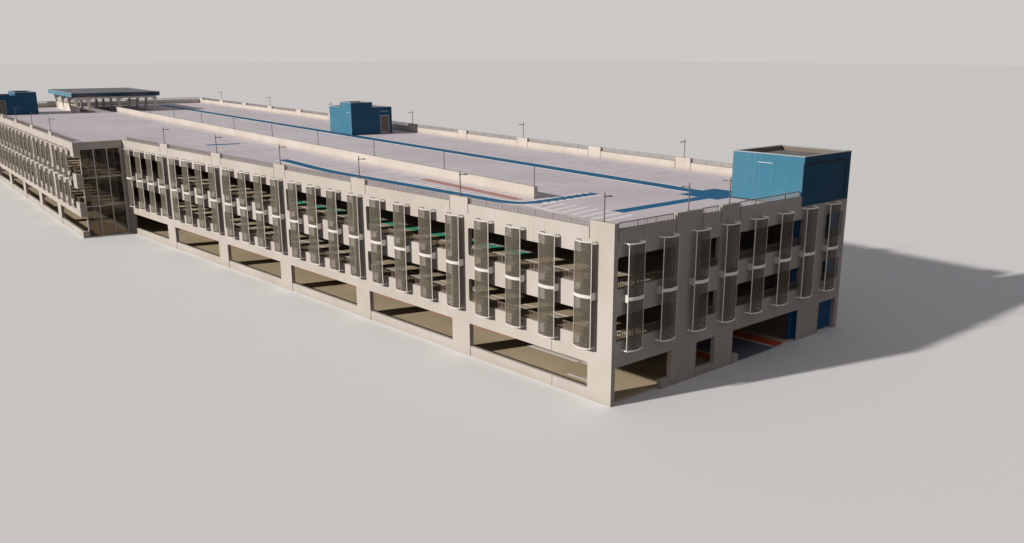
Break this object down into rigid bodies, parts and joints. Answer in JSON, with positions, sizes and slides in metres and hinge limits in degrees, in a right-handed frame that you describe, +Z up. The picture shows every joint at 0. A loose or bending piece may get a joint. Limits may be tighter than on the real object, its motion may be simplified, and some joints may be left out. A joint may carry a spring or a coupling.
{
  "type": "1:10 scale model of a multi storey car park",
  "caption": "Long car park with open storeys behind curved sun screens, a wing set at an angle, a roof deck for cars and stair towers.",
  "frame": {"origin": "on the underside of the ground slab, where the straight front and the wing meet, 1.5 m behind the front line", "axes": "X runs along the straight front with the near end wall at +X, Y runs to the back, Z is up"},
  "size_m": [13.8546, 4.3795, 1.185],
  "materials": {
    "wall_concrete": "matt, smooth cast concrete",
    "floor_concrete": "worn concrete floor",
    "deck_concrete": "pale brushed concrete deck",
    "white_frame": "satin white paint",
    "window_glass": "clear",
    "tower_paint": "satin teal and navy cladding",
    "roof_membrane": "matt grey roof sheet",
    "door_paint": "satin blue",
    "canopy_paint": "satin",
    "cream_paint": "satin cream",
    "screen_mesh": "perforated dark grey brown sheet",
    "rail_metal": "satin pale grey",
    "lamp_metal": "satin dark grey"
  },
  "bodies": {
    "root": {"ground_floor": "floor_concrete", "level_one_floor": "floor_concrete", "level_two_floor": "floor_concrete", "roof_deck": "deck_concrete", "front_pilasters": "wall_concrete", "front_low_walls": "wall_concrete", "front_level_one_spandrels": "wall_concrete", "front_level_two_spandrels": "wall_concrete", "front_parapets": "wall_concrete", "end_pilasters": "wall_concrete", "end_ground_walls": "wall_concrete", "end_spandrels": "wall_concrete", "end_parapets": "wall_concrete", "wing_pilasters": "wall_concrete", "wing_low_walls": "wall_concrete", "wing_spandrels": "wall_concrete", "wing_parapets": "wall_concrete", "rear_pilasters": "wall_concrete", "rear_wall_panels": "wall_concrete", "rear_corner_wall": "wall_concrete", "left_pilasters": "wall_concrete", "left_wall_panels": "wall_concrete", "return_wall_bands": "wall_concrete", "return_wall_frame": "white_frame", "return_wall_glass": "window_glass", "stair_core_walls": "tower_paint", "near_tower_walls": "tower_paint", "near_tower_roof": "roof_membrane", "mid_tower_walls": "tower_paint", "mid_tower_roofs": "roof_membrane", "left_tower_walls": "tower_paint", "left_tower_roofs": "roof_membrane", "stair_doors": "door_paint", "divider_wall": "wall_concrete", "canopy_roof": "canopy_paint", "canopy_frames": "cream_paint", "front_screen_panels": "screen_mesh", "front_screen_frames": "white_frame", "end_screen_panels": "screen_mesh", "end_screen_frames": "white_frame", "wing_screen_panels": "screen_mesh", "wing_screen_frames": "white_frame", "roof_railings": "rail_metal", "level_guards": "rail_metal", "lamp_posts": "lamp_metal"}
  },
  "joints": []
}
